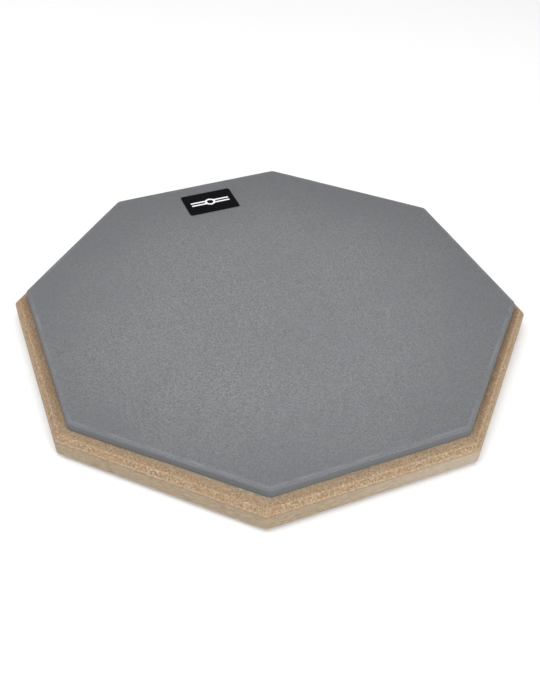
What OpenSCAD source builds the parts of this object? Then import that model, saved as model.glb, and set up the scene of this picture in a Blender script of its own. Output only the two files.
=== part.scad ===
// Octagonal drum practice pad: rubber playing face on a fibreboard base.
// Millimetres, +Z up, origin at the centre of the underside, one corner on -Y.
// Every layer is its own solid; the layers only touch face to face.

/* [Base board] */
// Width of the board across flats
board_af = 282; // [240:1:330]
// Thickness of the fibreboard
board_t = 12; // [9:0.5:18]
// Size of the 45 degree chamfer round the board's top edge
chamfer = 3; // [1:0.25:5]
// Rounding of the board's eight corners
board_corner_r = 4; // [1:1:8]

/* [Playing pad] */
// Bare rim of board left showing between the rubber and the chamfer
rim_w = 4.8; // [3:0.1:12]
// Thickness of the rubber
pad_t = 5; // [3:0.1:10]
// Rounding of the rubber's eight corners
pad_corner_r = 4.5; // [3:0.5:12]
// Rounding along the rubber's top edge
pad_edge_r = 1.2; // [0.5:0.1:2.5]

/* [Glue layers] */
// Thickness of the glue film between rubber and board
pad_glue_t = 0.3; // [0.2:0.05:0.5]
// Thickness of the glue film between board and grip sheet
grip_glue_t = 0.2; // [0.2:0.05:0.5]
// Thickness of the glue film behind the label
label_glue_t = 0.1; // [0.1:0.05:0.2]
// How far each glue film stops short of the sheet it holds
glue_margin = 0.6; // [0.3:0.1:2]

/* [Grip sheet] */
// Thickness of the foam grip sheet
grip_t = 2; // [1:0.5:4]
// How far the grip sheet sits in from the board's edge
grip_inset = 6; // [4:0.5:15]

/* [Label] */
// Length of the label, along the side of the pad
label_w = 35; // [24:0.5:60]
// Height of the label, towards the middle of the pad
label_h = 24; // [18:0.5:32]
// Thickness of the label
label_t = 0.3; // [0.2:0.05:0.6]
// Rounding of the label's corners
label_r = 1.8; // [0.5:0.1:4]
// Gap from the rubber's edge to the label
label_gap = 11.6; // [8:0.1:30]
// Thickness of the raised white mark
mark_t = 0.1; // [0.1:0.05:0.3]

/* [Hidden] */
$fn = 96;
soft_fn = 48;

sides = 8;
step_a = 360 / sides;
half_a = step_a / 2;
// Direction of the side that the label lies along
label_side_a = 90 + half_a;

grip_z = 0;
grip_glue_z = grip_z + grip_t;
board_z = grip_glue_z + grip_glue_t;
pad_glue_z = board_z + board_t;
pad_z = pad_glue_z + pad_glue_t;
label_glue_z = pad_z + pad_t;
label_z = label_glue_z + label_glue_t;
mark_z = label_z + label_t;

// Distances from the centre to a flat side
board_flat = board_af / 2;
board_top_flat = board_flat - chamfer;
pad_flat = board_top_flat - rim_w;
grip_flat = board_flat - grip_inset;
label_flat = pad_flat - label_gap - label_h / 2;

// How far the cutting tools run past what they cut
cut_over = 30;

// Generic mark across the label: an octagon ring with a pair of lines on either side
mark_line = label_w * 0.036;
mark_ring_flat = label_w * 0.098;
mark_half_w = label_w * 0.38;
mark_line_y = label_w * 0.042;

RUBBER_GREY = [0.47, 0.48, 0.5];
BOARD_TAN = [0.78, 0.66, 0.52];
FOAM_BLACK = [0.09, 0.09, 0.09];
GLUE_AMBER = [0.8, 0.74, 0.55];
LABEL_BLACK = [0.05, 0.05, 0.05];
MARK_WHITE = [0.95, 0.95, 0.95];

// Regular octagon with a corner on each axis, measured to its flats
module octagon(flat) {
    polygon([for (i = [0 : sides - 1])
        [cos(i * step_a), sin(i * step_a)] * flat / cos(half_a)]);
}

// Octagon with rounded corners, measured to its flats
module rounded_octagon(flat, corner_r) {
    core = flat - corner_r;
    reach = core * tan(half_a);
    polygon([for (i = [0 : sides - 1], side = [-1, 1])
        let (a = half_a + i * step_a)
            [cos(a), sin(a)] * flat + [-sin(a), cos(a)] * side * reach]);
    for (i = [0 : sides - 1])
        rotate(i * step_a)
            translate([core / cos(half_a), 0]) circle(r = corner_r);
}

// Round puck with a rounded top edge
module edge_rounded_puck(r, t, edge_r) {
    rotate_extrude($fn = soft_fn) {
        square([r - edge_r, t]);
        square([r, t - edge_r]);
        translate([r - edge_r, t - edge_r])
            intersection() {
                circle(r = edge_r, $fn = soft_fn);
                square(edge_r);
            }
    }
}

// Octagonal slab with rounded corners and a rounded top edge
module soft_slab(flat, t, corner_r, edge_r) {
    hull()
        for (i = [0 : sides - 1])
            rotate([0, 0, i * step_a])
                translate([(flat - corner_r) / cos(half_a), 0, 0])
                    edge_rounded_puck(corner_r, t, edge_r);
}

// Everything above the 45 degree chamfer along one side
module chamfer_cut(flat, t, size) {
    translate([flat, 0, t - size])
        rotate([0, -45, 0])
            translate([0, -flat, -cut_over]) cube([cut_over, 2 * flat, 2 * cut_over]);
}

// Octagonal slab with rounded corners and a straight chamfer along each top edge
module chamfered_slab(flat, t, corner_r, size) {
    difference() {
        linear_extrude(t) rounded_octagon(flat, corner_r);
        for (i = [0 : sides - 1])
            rotate([0, 0, half_a + i * step_a]) chamfer_cut(flat, t, size);
    }
}

module rounded_plate(w, h, t, r) {
    translate([-w / 2 + r, -h / 2, 0]) cube([w - 2 * r, h, t]);
    translate([-w / 2, -h / 2 + r, 0]) cube([w, h - 2 * r, t]);
    for (x = [-1, 1])
        for (y = [-1, 1])
            translate([x * (w / 2 - r), y * (h / 2 - r), 0]) cylinder(r = r, h = t);
}

// Label frame: x along the pad's side, y towards its edge
module on_label(z) {
    rotate([0, 0, label_side_a])
        translate([label_flat, 0, z])
            rotate([0, 0, -90]) children();
}

module grip_sheet() {
    color(FOAM_BLACK)
        translate([0, 0, grip_z])
            linear_extrude(grip_t) rounded_octagon(grip_flat, board_corner_r);
}

module grip_glue() {
    color(GLUE_AMBER)
        translate([0, 0, grip_glue_z])
            linear_extrude(grip_glue_t)
                rounded_octagon(grip_flat - glue_margin, board_corner_r);
}

module base_board() {
    color(BOARD_TAN)
        translate([0, 0, board_z])
            chamfered_slab(board_flat, board_t, board_corner_r, chamfer);
}

module pad_glue() {
    color(GLUE_AMBER)
        translate([0, 0, pad_glue_z])
            linear_extrude(pad_glue_t)
                rounded_octagon(pad_flat - glue_margin, pad_corner_r);
}

module playing_pad() {
    color(RUBBER_GREY)
        translate([0, 0, pad_z])
            soft_slab(pad_flat, pad_t, pad_corner_r, pad_edge_r);
}

module label_glue() {
    color(GLUE_AMBER)
        on_label(label_glue_z)
            rounded_plate(label_w - 2 * glue_margin, label_h - 2 * glue_margin, label_glue_t, label_r);
}

module label() {
    color(LABEL_BLACK)
        on_label(label_z) rounded_plate(label_w, label_h, label_t, label_r);
}

module label_mark() {
    ring_hole_flat = mark_ring_flat - mark_line;
    color(MARK_WHITE)
        on_label(mark_z)
            linear_extrude(mark_t)
                difference() {
                    union() {
                        octagon(mark_ring_flat);
                        for (side = [-1, 1])
                            translate([0, side * mark_line_y])
                                square([2 * mark_half_w, mark_line], center = true);
                    }
                    octagon(ring_hole_flat);
                }
}

grip_sheet();
grip_glue();
base_board();
pad_glue();
playing_pad();
label_glue();
label();
label_mark();
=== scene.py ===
"""An octagonal drum practice pad: rubber face, chamfered fibreboard, label and grip sheet.

Metres, +Z up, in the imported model's frame: one corner of the octagon points along -Y, at the viewer.
"""

import math

import bpy
import numpy as np
from mathutils import Matrix, Vector, noise


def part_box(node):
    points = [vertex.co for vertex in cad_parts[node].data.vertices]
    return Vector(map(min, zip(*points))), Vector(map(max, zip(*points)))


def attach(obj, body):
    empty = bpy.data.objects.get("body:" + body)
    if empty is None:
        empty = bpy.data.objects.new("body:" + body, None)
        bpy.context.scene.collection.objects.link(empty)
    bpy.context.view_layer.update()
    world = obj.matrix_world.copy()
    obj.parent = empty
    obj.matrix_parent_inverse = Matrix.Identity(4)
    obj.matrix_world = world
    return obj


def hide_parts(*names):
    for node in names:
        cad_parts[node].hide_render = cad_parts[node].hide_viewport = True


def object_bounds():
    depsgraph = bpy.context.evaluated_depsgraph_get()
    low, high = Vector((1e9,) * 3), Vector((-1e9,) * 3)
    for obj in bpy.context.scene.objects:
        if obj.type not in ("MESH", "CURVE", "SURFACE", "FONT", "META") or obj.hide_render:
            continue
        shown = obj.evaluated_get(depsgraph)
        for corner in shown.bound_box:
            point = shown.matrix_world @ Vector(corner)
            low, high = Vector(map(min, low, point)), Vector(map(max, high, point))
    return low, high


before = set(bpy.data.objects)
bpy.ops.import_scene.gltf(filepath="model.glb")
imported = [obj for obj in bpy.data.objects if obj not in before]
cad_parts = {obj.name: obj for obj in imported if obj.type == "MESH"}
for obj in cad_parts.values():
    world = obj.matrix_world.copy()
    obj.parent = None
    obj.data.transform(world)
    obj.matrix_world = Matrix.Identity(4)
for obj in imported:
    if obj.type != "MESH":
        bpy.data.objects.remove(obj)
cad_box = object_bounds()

MM = 0.001
SIDES = 8
HALF = math.pi / SIDES

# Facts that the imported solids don't state by their boxes
BOARD_CORNER_R = 4 * MM
PAD_CORNER_R = 4.5 * MM
PAD_EDGE_R = 1.2 * MM
CHAMFER = 3 * MM
LABEL_CORNER_R = 1.8 * MM
LABEL_TURN = math.radians(112.5)

# How far each corner of the hand-cut rubber is from true, (x, y) in mm, from the +X corner anticlockwise
RUBBER_CORNER_SHIFTS = (
    (1.5, 0.5), (2, -1.5), (0, 0.5), (-2.5, -1.5), (-1, 2), (0.5, -0.5), (1.3, 1.2), (1, 1))

pad_width = (cad_box[1] - cad_box[0]).x


# ---------------------------------------------------------------- outlines and meshes


def flat_of(node, corner_r):
    """Distance from the centre to a flat of a rounded octagonal node, from its corner-to-corner width."""
    low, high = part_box(node)
    reach = (high.x - low.x) / 2
    return (reach - corner_r) * math.cos(HALF) + corner_r


def octagon(flat, corner_r, steps, arc_steps=6):
    """Points round an octagon with rounded corners, one on each axis, with steps points along each side."""
    core = flat - corner_r
    side_len = 2 * core * math.tan(HALF)
    points = []
    for k in range(SIDES):
        corner_a = 2 * HALF * k
        centre = np.array([math.cos(corner_a), math.sin(corner_a)]) * core / math.cos(HALF)
        for j in range(arc_steps + 1):
            a = corner_a + HALF * (2 * j / arc_steps - 1)
            points.append(centre + np.array([math.cos(a), math.sin(a)]) * corner_r)
        along = np.array([-math.sin(corner_a + HALF), math.cos(corner_a + HALF)])
        start = points[-1]
        points += [start + along * side_len * j / steps for j in range(1, steps)]
    return np.array(points)


def octagon_rings(flat, corner_r, profile, steps, least_r=0.3 * MM):
    """One octagon ring for each profile point (inset, z); corners tighten as the inset grows."""
    rings = []
    for inset, z in profile:
        xy = octagon(flat - inset, max(corner_r - inset, least_r), steps)
        rings.append(np.c_[xy, np.full(len(xy), z)])
    return rings


def rounded_rectangle(width, height, corner_r, arc_steps=8):
    """Points round a rectangle with rounded corners, centred on the origin."""
    points = []
    for k, (sx, sy) in enumerate([(1, 1), (-1, 1), (-1, -1), (1, -1)]):
        centre = np.array([sx * (width / 2 - corner_r), sy * (height / 2 - corner_r)])
        for j in range(arc_steps + 1):
            a = math.pi / 2 * (k + j / arc_steps)
            points.append(centre + np.array([math.cos(a), math.sin(a)]) * corner_r)
    return np.array(points)


def round_edge(inset, z, radius, steps, start, stop):
    """Profile points (inset, z) on an arc about a centre, from start to stop degrees, 0 outward and 90 up."""
    angles = np.radians(np.linspace(start, stop, steps + 1))
    return [(inset - radius * math.cos(a), z + radius * math.sin(a)) for a in angles]


def closed_shell(rings, cap_shares):
    """Points and faces of a closed shell through the rings, bottom to top, capped by shrinking rings."""
    low, high = rings[0], rings[-1]
    lower = [np.c_[low[:, :2] * share, low[:, 2]] for share in reversed(cap_shares)]
    upper = [np.c_[high[:, :2] * share, high[:, 2]] for share in cap_shares]
    rings = lower + rings + upper
    n = len(low)
    points = np.concatenate(rings + [[[0, 0, low[:, 2].mean()]], [[0, 0, high[:, 2].mean()]]])
    faces = []
    for r in range(len(rings) - 1):
        for i in range(n):
            j = (i + 1) % n
            faces.append((r * n + i, r * n + j, (r + 1) * n + j, (r + 1) * n + i))
    last = (len(rings) - 1) * n
    low_centre, high_centre = len(points) - 2, len(points) - 1
    for i in range(n):
        j = (i + 1) % n
        faces.append((low_centre, j, i))
        faces.append((high_centre, last + i, last + j))
    return points, faces


def make_piece(name, points, faces, material, replaced):
    mesh = bpy.data.meshes.new(name)
    mesh.from_pydata([tuple(p) for p in points], [], faces)
    mesh.validate()
    mesh.polygons.foreach_set("use_smooth", [True] * len(mesh.polygons))
    mesh.materials.append(material)
    piece = bpy.data.objects.new(name, mesh)
    bpy.context.scene.collection.objects.link(piece)
    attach(piece, "root")
    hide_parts(replaced)
    return piece


def wander(x, y, z, size, seed):
    """Smooth noise from -1 to 1 that varies over the given size in metres."""
    return noise.noise(Vector((x / size + seed, y / size - seed, z / size + 2 * seed)))


# ---------------------------------------------------------------- materials


class Nodes:
    """A short way to write a material's node tree."""

    def __init__(self, name):
        self.material = bpy.data.materials.new(name)
        self.material.use_nodes = True
        self.tree = self.material.node_tree
        self.shader = self.tree.nodes["Principled BSDF"]
        self.place = self.tree.nodes.new("ShaderNodeTexCoord").outputs["Object"]

    def add(self, kind, **settings):
        node = self.tree.nodes.new(kind)
        for key, value in settings.items():
            setattr(node, key, value)
        return node

    def feed(self, socket, value):
        if hasattr(value, "links"):
            self.tree.links.new(value, socket)
        else:
            socket.default_value = value

    def stretched(self, scale):
        mapping = self.add("ShaderNodeMapping")
        self.feed(mapping.inputs["Vector"], self.place)
        mapping.inputs["Scale"].default_value = scale
        return mapping.outputs["Vector"]

    def noise(self, size, detail=2.0, roughness=0.5, scale=(1, 1, 1), distortion=0.0):
        """Noise from 0 to 1 with features of about the given size in metres."""
        node = self.add("ShaderNodeTexNoise")
        self.feed(node.inputs["Vector"], self.stretched(scale))
        node.inputs["Scale"].default_value = 1 / size
        node.inputs["Detail"].default_value = detail
        node.inputs["Roughness"].default_value = roughness
        node.inputs["Distortion"].default_value = distortion
        return node.outputs["Fac"]

    def cells(self, size, feature="F1"):
        """Distance to the middle of the nearest cell, for cells of about the given size in metres."""
        node = self.add("ShaderNodeTexVoronoi", feature=feature)
        self.feed(node.inputs["Vector"], self.stretched((1, 1, 1)))
        node.inputs["Scale"].default_value = 1 / size
        return node.outputs["Distance"]

    def ramp(self, value, low, high, out_low=0.0, out_high=1.0):
        """value from low..high to out_low..out_high, smooth and clamped."""
        node = self.add("ShaderNodeMapRange", interpolation_type="SMOOTHSTEP")
        inputs = {"Value": value, "From Min": low, "From Max": high, "To Min": out_low, "To Max": out_high}
        for socket, setting in inputs.items():
            self.feed(node.inputs[socket], setting)
        return node.outputs["Result"]

    def math(self, operation, a, b=0.0):
        node = self.add("ShaderNodeMath", operation=operation)
        self.feed(node.inputs[0], a)
        self.feed(node.inputs[1], b)
        return node.outputs["Value"]

    def mix(self, amount, a, b):
        """Colour a to colour b by amount."""
        node = self.add("ShaderNodeMix", data_type="RGBA")
        self.feed(node.inputs["Factor"], amount)
        self.feed(node.inputs[6], a)
        self.feed(node.inputs[7], b)
        return node.outputs[2]

    def height(self):
        """The point's height in the row frame."""
        node = self.add("ShaderNodeSeparateXYZ")
        self.feed(node.inputs["Vector"], self.place)
        return node.outputs["Z"]

    def attribute(self, name):
        return self.add("ShaderNodeAttribute", attribute_name=name).outputs["Fac"]

    def radius(self, centre_y):
        """The point's distance from the upright line through (0, centre_y)."""
        node = self.add("ShaderNodeVectorMath", operation="DISTANCE")
        self.feed(node.inputs[0], self.stretched((1, 1, 0)))
        node.inputs[1].default_value = (0, centre_y, 0)
        return node.outputs["Value"]

    def bump(self, height, distance):
        node = self.add("ShaderNodeBump")
        self.feed(node.inputs["Height"], height)
        node.inputs["Distance"].default_value = distance
        return node.outputs["Normal"]

    def finish(self, colour, roughness, normal=None, **constants):
        self.feed(self.shader.inputs["Base Color"], colour)
        self.feed(self.shader.inputs["Roughness"], roughness)
        if normal is not None:
            self.feed(self.shader.inputs["Normal"], normal)
        for key, value in constants.items():
            self.shader.inputs[key.replace("_", " ")].default_value = value
        return self.material


def srgb(r, g, b):
    """A colour given as 0-255 display values, as linear RGBA."""
    def linear(v):
        v = v / 255
        return v / 12.92 if v <= 0.04045 else ((v + 0.055) / 1.055) ** 2.4
    return (linear(r), linear(g), linear(b), 1.0)


def rubber_material(edge_z, top_z):
    """Finely speckled grey rubber, its cut wall smoother; darker towards its edges as painted shade, the wall
    and lower rounded edge darker by their own tone and painted shade, and a painted highlight line on the
    ridge.
    """
    n = Nodes("playing_rubber")
    grain = n.noise(0.8 * MM, detail=2, roughness=0.6)
    patches = n.noise(35 * MM, detail=2)
    colour = n.mix(n.ramp(grain, 0.28, 0.72), srgb(96, 97, 99), srgb(129, 130, 132))
    colour = n.mix(n.ramp(patches, 0.3, 0.7, 0, 0.3), colour, srgb(109, 111, 114))
    specks = n.ramp(n.cells(1.5 * MM), 0.12, 0.25, 1, 0)
    colour = n.mix(n.math("MULTIPLY", specks, 0.3), colour, srgb(149, 150, 153))
    # Painted shade: the rubber darkens towards its edges, standing in for light that falls off away from the
    # middle.
    radius = n.math("ADD", n.radius(-0.05 * pad_width), n.math("MULTIPLY", patches, 0.08 * pad_width))
    painted_edge_falloff = n.ramp(radius, 0.24 * pad_width, 0.55 * pad_width, 0, 0.62)
    colour = n.mix(painted_edge_falloff, colour, srgb(90, 91, 94))
    height = n.height()
    # The cut wall's own darker tone, with painted shade carried over the wall and the lower part of the
    # rounded edge.
    wall_tone_and_shade = n.ramp(height, edge_z, edge_z + 0.7 * PAD_EDGE_R, 1, 0)
    colour = n.mix(wall_tone_and_shade, colour, srgb(99, 101, 103))
    # A painted highlight: a broken pale line along the crest of the ridge inside the edge.
    highlight_breaks = n.ramp(n.noise(12 * MM, detail=3), 0.35, 0.65, 0.05, 0.45)
    colour = n.mix(n.math("MULTIPLY", n.attribute("ridge_highlight"), highlight_breaks), colour, srgb(131, 133, 137))
    pebbles = n.ramp(n.cells(1.0 * MM, feature="SMOOTH_F1"), 0.0, 0.8)
    relief = n.math("ADD", n.math("MULTIPLY", grain, 0.6), pebbles)
    relief = n.math("MULTIPLY", relief, n.ramp(height, edge_z, top_z - 0.2 * MM, 0.2, 1))
    roughness = n.ramp(grain, 0.3, 0.7, 0.72, 0.86)
    return n.finish(colour, roughness, n.bump(relief, 0.10 * MM), Specular_IOR_Level=0.35)


def board_material(side_top_z, top_z):
    """Raw fibreboard: smooth pale sawn sides, a coarse flecked chamfer and rim, with painted light and shade:
    a paler front-right side, painted highlights and a shade line along the arrises, a painted shadow of the
    rubber on the left and right rims, and a pale band at the rubber's foot on the front, partly glue and
    partly painted light.
    """
    n = Nodes("fibreboard")
    fibres = n.noise(1.0 * MM, detail=4, roughness=0.65, distortion=0.6)
    fine = n.noise(0.6 * MM, detail=2)
    streaks = n.noise(1.6 * MM, detail=3, roughness=0.6, scale=(0.5, 0.5, 2))
    blotches = n.noise(9 * MM, detail=2)
    core = n.mix(n.ramp(fibres, 0.36, 0.64), srgb(126, 102, 76), srgb(166, 147, 123))
    core = n.mix(n.ramp(blotches, 0.3, 0.7, 0, 0.35), core, srgb(152, 124, 96))
    dark_chips = n.ramp(n.cells(1.3 * MM), 0.10, 0.24, 1, 0)
    core = n.mix(n.math("MULTIPLY", dark_chips, 0.45), core, srgb(112, 82, 54))
    pale_chips = n.ramp(n.noise(1.0 * MM, detail=1), 0.62, 0.72)
    core = n.mix(n.math("MULTIPLY", pale_chips, 0.4), core, srgb(192, 174, 150))
    skin = n.mix(n.ramp(streaks, 0.32, 0.68), srgb(129, 113, 91), srgb(165, 149, 128))
    skin = n.mix(n.ramp(fine, 0.3, 0.7, 0.4, 0), skin, srgb(126, 111, 89))
    skin = n.mix(n.ramp(blotches, 0.35, 0.65, 0, 0.4), skin, srgb(148, 129, 104))
    # Painted light: the lower side is paler towards the front-right, where light falls on it more.
    skin = n.mix(n.math("MULTIPLY", n.attribute("painted_light_skin"), 0.48), skin, srgb(168, 158, 145))

    # A pale greyish band at the rubber's foot on the front rim: dried glue, and painted light that lifts the
    # shade there.
    glue_and_painted_light = n.math("MULTIPLY", n.attribute("glue_haze_and_painted_light"), n.ramp(blotches, 0.25, 0.6, 0.1, 0.35))
    core = n.mix(glue_and_painted_light, core, srgb(168, 153, 134))
    # Painted shadow: the left and right rims darken towards the rubber, as its wall's shadow.
    painted_rim_shadow = n.math("MULTIPLY", n.attribute("painted_rim_shadow"), n.ramp(blotches, 0.25, 0.6, 0.25, 0.55))
    core = n.mix(painted_rim_shadow, core, srgb(108, 82, 60))

    height = n.height()
    edge = n.math("MULTIPLY", n.math("SUBTRACT", n.noise(5 * MM, detail=3), 0.5), 0.5 * MM)
    above = n.math("SUBTRACT", n.math("ADD", height, edge), side_top_z)
    smooth = n.ramp(above, -0.25 * MM, 0.15 * MM, 1, 0)
    colour = n.mix(smooth, core, skin)
    # Painted shade and highlight along the arris between side and chamfer: a dark line just below it, a pale
    # line just above.
    from_shade_line = n.math("ABSOLUTE", n.math("ADD", above, 0.4 * MM))
    painted_shade_line = n.ramp(from_shade_line, 0.1 * MM, 0.6 * MM, 0.45, 0)
    colour = n.mix(painted_shade_line, colour, srgb(130, 106, 82))
    from_arris = n.math("ABSOLUTE", n.math("SUBTRACT", above, 0.45 * MM))
    arris_highlight = n.ramp(from_arris, 0.1 * MM, 0.5 * MM, 0.4, 0)
    colour = n.mix(arris_highlight, colour, srgb(172, 152, 126))
    # A painted highlight along the top arris of the chamfer.
    from_top_arris = n.math("ABSOLUTE", n.math("SUBTRACT", height, top_z - 0.25 * MM))
    top_arris_highlight = n.ramp(from_top_arris, 0.05 * MM, 0.35 * MM, 0.3, 0)
    colour = n.mix(top_arris_highlight, colour, srgb(184, 160, 132))

    rough_part = n.math("SUBTRACT", 1.0, n.math("MULTIPLY", smooth, 0.85))
    relief = n.math("ADD", fibres, n.math("MULTIPLY", fine, 0.4))
    relief = n.math("SUBTRACT", relief, n.math("MULTIPLY", dark_chips, 0.5))
    relief = n.math("MULTIPLY", relief, rough_part)
    roughness = n.ramp(smooth, 0, 1, 0.95, 0.62)
    return n.finish(colour, roughness, n.bump(relief, 0.3 * MM), Specular_IOR_Level=0.25)


def label_material(top_z):
    """Satin black film with a faint grain and fine rub marks, its pale core showing on the cut edge."""
    n = Nodes("label_film")
    grain = n.noise(0.35 * MM, detail=2)
    rubs = n.noise(5 * MM, detail=4, roughness=0.7, scale=(1, 3, 1))
    colour = n.mix(n.ramp(rubs, 0.35, 0.75), srgb(4, 4, 6), srgb(10, 10, 13))
    core = n.ramp(n.height(), top_z - 0.14 * MM, top_z - 0.08 * MM, 0.8, 0)
    colour = n.mix(core, colour, srgb(168, 168, 170))
    roughness = n.ramp(rubs, 0.3, 0.7, 0.42, 0.58)
    return n.finish(colour, roughness, n.bump(grain, 0.01 * MM), Specular_IOR_Level=0.03)


def ink_material():
    """Matt white ink, slightly mottled."""
    n = Nodes("label_ink")
    mottle = n.noise(0.8 * MM, detail=3)
    colour = n.mix(n.ramp(mottle, 0.3, 0.7), srgb(226, 226, 228), srgb(247, 247, 248))
    return n.finish(colour, n.ramp(mottle, 0.3, 0.7, 0.5, 0.65), n.bump(mottle, 0.01 * MM))


def foam_material():
    """Black closed-cell foam."""
    n = Nodes("grip_foam")
    cells = n.cells(0.9 * MM)
    mottle = n.noise(20 * MM, detail=3)
    colour = n.mix(n.ramp(cells, 0.1, 0.7), srgb(28, 28, 29), srgb(52, 52, 54))
    colour = n.mix(n.ramp(mottle, 0.3, 0.7, 0, 0.3), colour, srgb(62, 62, 63))
    return n.finish(colour, 0.92, n.bump(n.ramp(cells, 0.0, 0.7), 0.15 * MM), Specular_IOR_Level=0.25)


def glue_material():
    """Dried contact glue, dull and patchy."""
    n = Nodes("glue")
    patches = n.noise(4 * MM, detail=3)
    colour = n.mix(n.ramp(patches, 0.3, 0.7), srgb(138, 131, 112), srgb(164, 157, 140))
    return n.finish(colour, n.ramp(patches, 0.3, 0.7, 0.35, 0.6), n.bump(patches, 0.1 * MM))


# ---------------------------------------------------------------- pieces


def drift(points, flat, amount, size, seed, least_z):
    """Moves the outer points inward by up to amount, in waves of the given size, above least_z."""
    for p in points:
        x, y, z = p
        if z < least_z or math.hypot(x, y) < flat * 0.9:
            continue
        wave = 0.5 + 0.5 * wander(x, y, z, size, seed)
        p[:2] *= 1 - amount * wave / flat


def insets(points, flat):
    """How far inside the nearest flat of an octagon each point lies."""
    azimuths = HALF * (2 * np.arange(SIDES) + 1)
    outward = np.array([np.cos(azimuths), np.sin(azimuths)])
    return flat - (points[:, :2] @ outward).max(axis=1)


def add_attribute(piece, name, values):
    piece.data.attributes.new(name, "FLOAT", "POINT").data.foreach_set("value", values)


def make_board():
    """The chamfered board: softened edges that wander a little, as a router and sandpaper leave them."""
    low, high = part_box("base_board")
    flat = flat_of("base_board", BOARD_CORNER_R)
    ease = 0.4 * MM
    side_top = high.z - CHAMFER
    half_turn = math.tan(HALF)
    profile = round_edge(ease, low.z + ease, ease, 3, -90, 0)
    profile += [(0.0, z) for z in np.linspace(low.z + ease, side_top, 9)[1:-1]]
    profile += round_edge(ease, side_top - ease * half_turn, ease, 3, 0, 45)
    profile += [(CHAMFER * t, side_top + CHAMFER * t) for t in (0.3, 0.5, 0.7)]
    profile += round_edge(CHAMFER + ease * half_turn, high.z - ease, ease, 3, 45, 90)
    # Rings on the rim where its painted shadow and light begin, at the rubber's edge, and under the rubber
    rubber_edge = flat - flat_of("playing_pad", PAD_CORNER_R)
    painted_rim_start = rubber_edge - 2.8 * MM
    profile += [(painted_rim_start, high.z), (rubber_edge, high.z), (rubber_edge + 4 * MM, high.z)]
    rings = octagon_rings(flat, BOARD_CORNER_R, profile, 90)
    points, faces = closed_shell(rings, [0.93, 0.85, 0.5])
    across = points[:, 0] / pad_width
    on_rim = points[:, 2] == high.z
    # The front sides give way to the left and right ones between these shares of the width from the middle
    turn_start, turn_end = 0.33, 0.38
    front = np.interp(np.abs(across), [turn_start, turn_end], [1, 0])
    # The front rim's band at the rubber's foot, partly glue and partly painted light.
    glue_and_painted_light = np.interp(insets(points, flat), [painted_rim_start, rubber_edge], [0, 1]) * on_rim * front
    # How strongly the left and right rims take the painted shadow of the rubber.
    shadowed_sides = np.interp(across, [-turn_end, -turn_start, turn_start, turn_end], [0.6, 0, 0, 1.1])
    painted_rim_shadow = np.interp(insets(points, flat), [CHAMFER, painted_rim_start], [0, 1]) * on_rim * shadowed_sides
    # Where the lower side gets its painted light, on the front-right.
    painted_light_skin = np.interp(across, [0.08, turn_start], [0, 1])
    painted_light_skin *= np.interp(points[:, 1] / pad_width, [-0.32, -0.08], [1, 0])
    drift(points, flat, 0.12 * MM, 9 * MM, 3.1, low.z + ease)
    drift(points, flat, 0.08 * MM, 2.2 * MM, 8.7, side_top)
    board = make_piece(
        "fibreboard_base", points, faces, board_material(side_top, high.z), "base_board")
    add_attribute(board, "glue_haze_and_painted_light", glue_and_painted_light)
    add_attribute(board, "painted_rim_shadow", painted_rim_shadow)
    add_attribute(board, "painted_light_skin", painted_light_skin)


def skew(points, flat, shifts):
    """Moves each corner of an octagonal piece by its (x, y) shift in mm, and the rest in proportion."""
    reach = flat / math.cos(HALF)
    corners = [np.array([math.cos(2 * HALF * k), math.sin(2 * HALF * k)]) * reach for k in range(SIDES)]
    for p in points:
        k = int(math.atan2(p[1], p[0]) % (2 * math.pi) // (2 * HALF)) % SIDES
        after = (k + 1) % SIDES
        shares = np.linalg.solve(np.array([corners[k], corners[after]]).T, p[:2])
        p[:2] += shares[0] * np.array(shifts[k]) * MM + shares[1] * np.array(shifts[after]) * MM


def make_rubber():
    """The rubber face: hand-cut and wavering, with a rounded top edge and a faint ridge just inside it, which
    carries a painted highlight line.
    """
    low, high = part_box("playing_pad")
    waver = 0.35 * MM
    flat = flat_of("playing_pad", PAD_CORNER_R) + waver / 2
    foot = 0.12 * MM
    wall_top = high.z - PAD_EDGE_R
    profile = round_edge(foot, low.z + foot, foot, 3, -90, 0)
    profile += [(0, low.z + (wall_top - low.z) * t) for t in (0.35, 0.7)]
    profile += round_edge(PAD_EDGE_R, wall_top, PAD_EDGE_R, 8, 0, 90)
    # (further in, up) in mm
    ridge = [(0.3, 0.03), (0.7, 0.05), (1.2, 0.05), (1.8, 0.02), (2.4, 0), (4.0, 0)]
    profile += [(PAD_EDGE_R + across * MM, high.z + up * MM) for across, up in ridge]
    rings = octagon_rings(flat, PAD_CORNER_R, profile, 60)
    points, faces = closed_shell(rings, [0.97, 0.94, 0.88, 0.8, 0.6, 0.4, 0.2])
    # The ridge's crest, where the rubber's painted highlight line goes.
    crest = insets(points, flat) - PAD_EDGE_R
    ridge_highlight_mask = np.interp(crest / MM, [-0.3, 0.2, 0.7, 1.6], [0, 1, 1, 0]) * (points[:, 2] > wall_top)
    drift(points, flat, waver, 24 * MM, 5.3, low.z + 2 * foot)
    drift(points, flat, 0.12 * MM, 6 * MM, 1.7, low.z + 2 * foot)
    skew(points, flat, RUBBER_CORNER_SHIFTS)
    rubber = make_piece(
        "rubber_face", points, faces, rubber_material(wall_top, high.z), "playing_pad")
    add_attribute(rubber, "ridge_highlight", ridge_highlight_mask)


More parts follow.
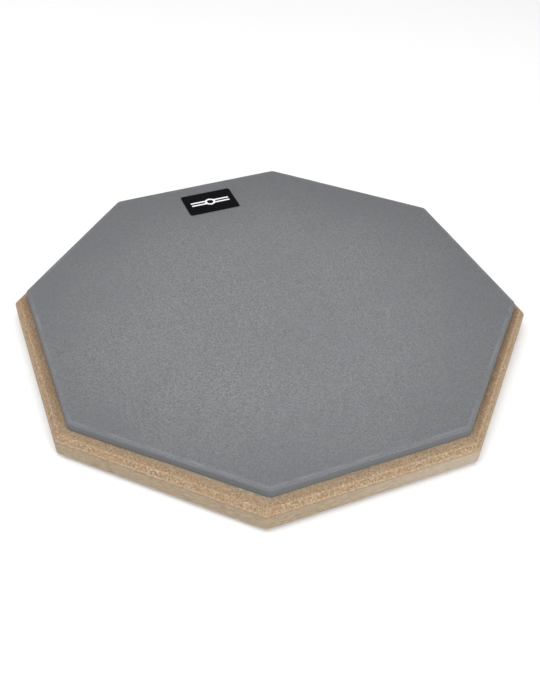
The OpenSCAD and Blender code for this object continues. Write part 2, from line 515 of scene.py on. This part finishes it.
def make_label():
    """A thin black plate with rounded corners and a softened top edge."""
    low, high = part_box("label")
    turn = LABEL_TURN - math.pi / 2
    across, along = abs(math.cos(turn)), abs(math.sin(turn))
    # The box of the turned plate, less what its rounded corners take off, gives its two sides
    trim = 2 * LABEL_CORNER_R * (across + along - 1)
    box_x, box_y = (high - low).x + trim, (high - low).y + trim
    width = (box_x * across - box_y * along) / (across ** 2 - along ** 2)
    height = (box_y * across - box_x * along) / (across ** 2 - along ** 2)
    ease = 0.12 * MM
    rings = []
    for inset, z in [(0.0, low.z)] + round_edge(ease, high.z - ease, ease, 4, 0, 90):
        xy = rounded_rectangle(width - 2 * inset, height - 2 * inset, LABEL_CORNER_R - inset)
        rings.append(np.c_[xy, np.full(len(xy), z)])
    points, faces = closed_shell(rings, [0.9, 0.5])
    centre = (low + high) / 2
    place = Matrix.Translation((centre.x, centre.y, 0)) @ Matrix.Rotation(turn, 4, "Z")
    points = [place @ Vector(p) for p in points]
    make_piece("label_plate", points, faces, label_material(high.z), "label")


def make_grip_sheet():
    """The foam sheet under the board, with a soft lower edge."""
    low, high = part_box("grip_sheet")
    flat = flat_of("grip_sheet", BOARD_CORNER_R)
    ease = 0.6 * MM
    profile = round_edge(ease, low.z + ease, ease, 4, -90, 0) + [(0.0, high.z)]
    rings = octagon_rings(flat, BOARD_CORNER_R, profile, 16)
    points, faces = closed_shell(rings, [0.97, 0.8, 0.4])
    sheet = make_piece("grip_foam_sheet", points, faces, foam_material(), "grip_sheet")


def dress_cad_nodes():
    """The films and the printed mark keep their CAD shape and get a finish."""
    glue = glue_material()
    finishes = {"pad_glue": glue, "grip_glue": glue, "label_glue": glue, "label_mark": ink_material()}
    for node, material in finishes.items():
        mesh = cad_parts[node].data
        mesh.materials.clear()
        mesh.materials.append(material)


# ---------------------------------------------------------------- studio


def make_floor():
    floor_mesh = bpy.data.meshes.new("studio_floor")
    reach = 12 * pad_width
    floor_mesh.from_pydata(
        [(-reach, -reach, 0), (reach, -reach, 0), (reach, reach, 0), (-reach, reach, 0)], [], [(0, 1, 2, 3)])
    n = Nodes("studio_floor")
    tone = n.noise(0.4, detail=1)
    n.finish(n.mix(n.ramp(tone, 0.3, 0.7), (0.93, 0.93, 0.93, 1), (0.95, 0.95, 0.95, 1)), 0.9)
    floor_mesh.materials.append(n.material)
    floor = bpy.data.objects.new("studio_floor", floor_mesh)
    floor.location.z = -0.2 * MM
    bpy.context.scene.collection.objects.link(floor)


def softbox(name, azimuth, elevation, distance, size, power):
    """A square area light aimed at the pad, from an azimuth measured from the viewer's side."""
    light = bpy.data.lights.new(name, "AREA")
    light.shape = "SQUARE"
    light.size = size
    light.energy = power
    a, e = math.radians(azimuth), math.radians(elevation)
    away = Vector((math.sin(a) * math.cos(e), -math.cos(a) * math.cos(e), math.sin(e)))
    lamp = bpy.data.objects.new(name, light)
    lamp.location = away * distance
    lamp.rotation_euler = away.to_track_quat("Z", "Y").to_euler()
    bpy.context.scene.collection.objects.link(lamp)


def make_lights():
    # Azimuth and elevation in degrees, distance and size in metres, power in watts
    softbox("left_softbox", -90, 55, 0.9, 0.8, 1.7)
    softbox("front_right_softbox", 42, 20, 1.0, 0.5, 3.9)
    softbox("front_left_softbox", -40, 20, 1.2, 0.6, 2.8)
    softbox("top_softbox", 0, 75, 0.6, 0.3, 0.8)
    world = bpy.data.worlds.new("studio")
    world.use_nodes = True
    world.node_tree.nodes["Background"].inputs["Color"].default_value = (1, 1, 1, 1)
    world.node_tree.nodes["Background"].inputs["Strength"].default_value = 0.81
    bpy.context.scene.world = world


def make_camera():
    """The viewing angle: high in front, almost square on, rolled slightly to the left."""
    elevation, azimuth, roll = math.radians(42.785), math.radians(-0.33), math.radians(1.384)
    distance = 1.6209 * pad_width
    target = Vector((0.0014, -0.0880, 0)) * pad_width
    target.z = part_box("base_board")[0].z
    level = Vector((math.sin(azimuth), -math.cos(azimuth), 0))
    back = level * math.cos(elevation) + Vector((0, 0, math.sin(elevation)))
    right = (-back).cross(Vector((0, 0, 1))).normalized()
    up = right.cross(-back)
    cam_x = math.cos(roll) * right + math.sin(roll) * up
    cam_y = math.cos(roll) * up - math.sin(roll) * right
    data = bpy.data.cameras.new("camera")
    data.sensor_fit = "VERTICAL"
    data.sensor_height = 36.0
    data.lens = 43.54
    data.clip_end = 50
    camera = bpy.data.objects.new("camera", data)
    rotation = Matrix((cam_x, cam_y, back)).transposed().to_4x4()
    camera.matrix_world = Matrix.Translation(target + back * distance) @ rotation
    bpy.context.scene.collection.objects.link(camera)
    bpy.context.scene.camera = camera


make_camera()
make_board()
make_rubber()
make_label()
make_grip_sheet()
dress_cad_nodes()
make_floor()
make_lights()
bpy.context.scene.view_settings.view_transform = "Standard"
